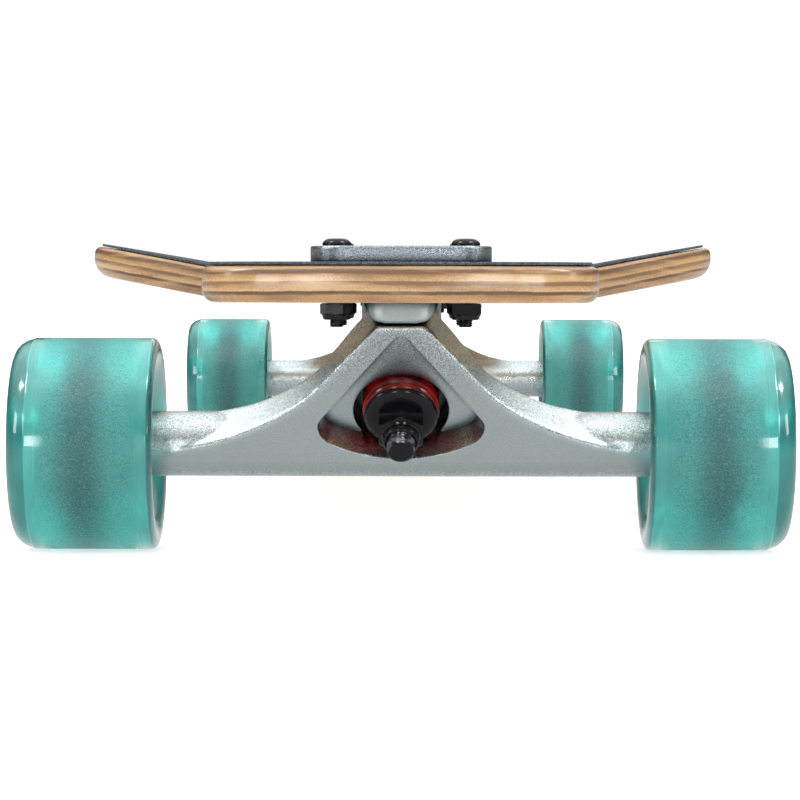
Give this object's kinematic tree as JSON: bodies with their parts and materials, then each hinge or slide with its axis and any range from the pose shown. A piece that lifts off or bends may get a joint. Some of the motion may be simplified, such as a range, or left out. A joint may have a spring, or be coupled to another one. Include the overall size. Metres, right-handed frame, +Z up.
{
  "type": "skateboard",
  "caption": "Drop-through longboard skateboard: laminated deck, sprung reverse-kingpin trucks and rolling urethane wheels.",
  "frame": {"origin": "on the ground, under the middle of the board", "axes": "+Y along the board from the nose to the tail, +X to the rider's left when facing the nose, +Z up"},
  "size_m": [0.2548, 1.041, 0.1041],
  "materials": {
    "laminated_wood": "lacquered satin",
    "grip_grit": "rough grit",
    "cast_baseplate": "coarse cast and tumbled",
    "cast_hanger": "satin cast",
    "teal_urethane": "translucent, frosted tread",
    "red_urethane": "satin translucent",
    "black_nylon": "matt moulded",
    "black_steel": "semi-gloss black oxide",
    "bright_steel": "plated"
  },
  "bodies": {
    "board": {"deck": "laminated_wood", "grip_tape": "grip_grit", "front_baseplate": "cast_baseplate", "front_pivot_cup": "black_nylon", "front_kingpin": "black_steel", "front_kingpin_nut": "black_steel", "front_road_side_bushing": "red_urethane", "front_board_side_bushing": "red_urethane", "front_road_side_washer": "black_steel", "front_board_side_washer": "black_steel", "front_outer_left_bolt": "black_steel", "front_outer_left_bolt_nut": "black_steel", "front_outer_right_bolt": "black_steel", "front_outer_right_bolt_nut": "black_steel", "front_inner_left_bolt": "black_steel", "front_inner_left_bolt_nut": "black_steel", "front_inner_right_bolt": "black_steel", "front_inner_right_bolt_nut": "black_steel", "rear_baseplate": "cast_baseplate", "rear_pivot_cup": "black_nylon", "rear_kingpin": "black_steel", "rear_kingpin_nut": "black_steel", "rear_road_side_bushing": "red_urethane", "rear_board_side_bushing": "red_urethane", "rear_road_side_washer": "black_steel", "rear_board_side_washer": "black_steel", "rear_outer_left_bolt": "black_steel", "rear_outer_left_bolt_nut": "black_steel", "rear_outer_right_bolt": "black_steel", "rear_outer_right_bolt_nut": "black_steel", "rear_inner_left_bolt": "black_steel", "rear_inner_left_bolt_nut": "black_steel", "rear_inner_right_bolt": "black_steel", "rear_inner_right_bolt_nut": "black_steel"},
    "front_truck_hanger": {"front_hanger": "cast_hanger", "front_axle": "bright_steel", "front_left_axle_nut": "black_steel", "front_right_axle_nut": "black_steel"},
    "front_left_wheel": {"front_left_tyre": "teal_urethane", "front_left_core": "black_nylon", "front_left_inner_bearing": "bright_steel", "front_left_outer_bearing": "bright_steel"},
    "front_right_wheel": {"front_right_tyre": "teal_urethane", "front_right_core": "black_nylon", "front_right_inner_bearing": "bright_steel", "front_right_outer_bearing": "bright_steel"},
    "rear_truck_hanger": {"rear_hanger": "cast_hanger", "rear_axle": "bright_steel", "rear_left_axle_nut": "black_steel", "rear_right_axle_nut": "black_steel"},
    "rear_left_wheel": {"rear_left_tyre": "teal_urethane", "rear_left_core": "black_nylon", "rear_left_inner_bearing": "bright_steel", "rear_left_outer_bearing": "bright_steel"},
    "rear_right_wheel": {"rear_right_tyre": "teal_urethane", "rear_right_core": "black_nylon", "rear_right_inner_bearing": "bright_steel", "rear_right_outer_bearing": "bright_steel"}
  },
  "joints": [
    {"name": "front_steering", "type": "hinge", "parent": "board", "child": "front_truck_hanger", "pos_m": [0, -0.39607, 0.05751], "axis": [0, -0.6428, 0.766], "range_deg": [-15, 15], "stiffness_Nm_per_rad": 50, "deforming": ["front_road_side_bushing", "front_board_side_bushing"]},
    {"name": "front_left_wheel_spin", "type": "hinge", "parent": "front_truck_hanger", "child": "front_left_wheel", "pos_m": [0.103, -0.3935, 0.035], "axis": [1, 0, 0], "continuous": true},
    {"name": "front_right_wheel_spin", "type": "hinge", "parent": "front_truck_hanger", "child": "front_right_wheel", "pos_m": [-0.103, -0.3935, 0.035], "axis": [1, 0, 0], "continuous": true},
    {"name": "rear_steering", "type": "hinge", "parent": "board", "child": "rear_truck_hanger", "pos_m": [0, 0.39607, 0.05751], "axis": [0, 0.6428, 0.766], "range_deg": [-15, 15], "stiffness_Nm_per_rad": 50, "deforming": ["rear_road_side_bushing", "rear_board_side_bushing"]},
    {"name": "rear_left_wheel_spin", "type": "hinge", "parent": "rear_truck_hanger", "child": "rear_left_wheel", "pos_m": [0.103, 0.3935, 0.035], "axis": [1, 0, 0], "continuous": true},
    {"name": "rear_right_wheel_spin", "type": "hinge", "parent": "rear_truck_hanger", "child": "rear_right_wheel", "pos_m": [-0.103, 0.3935, 0.035], "axis": [1, 0, 0], "continuous": true}
  ]
}
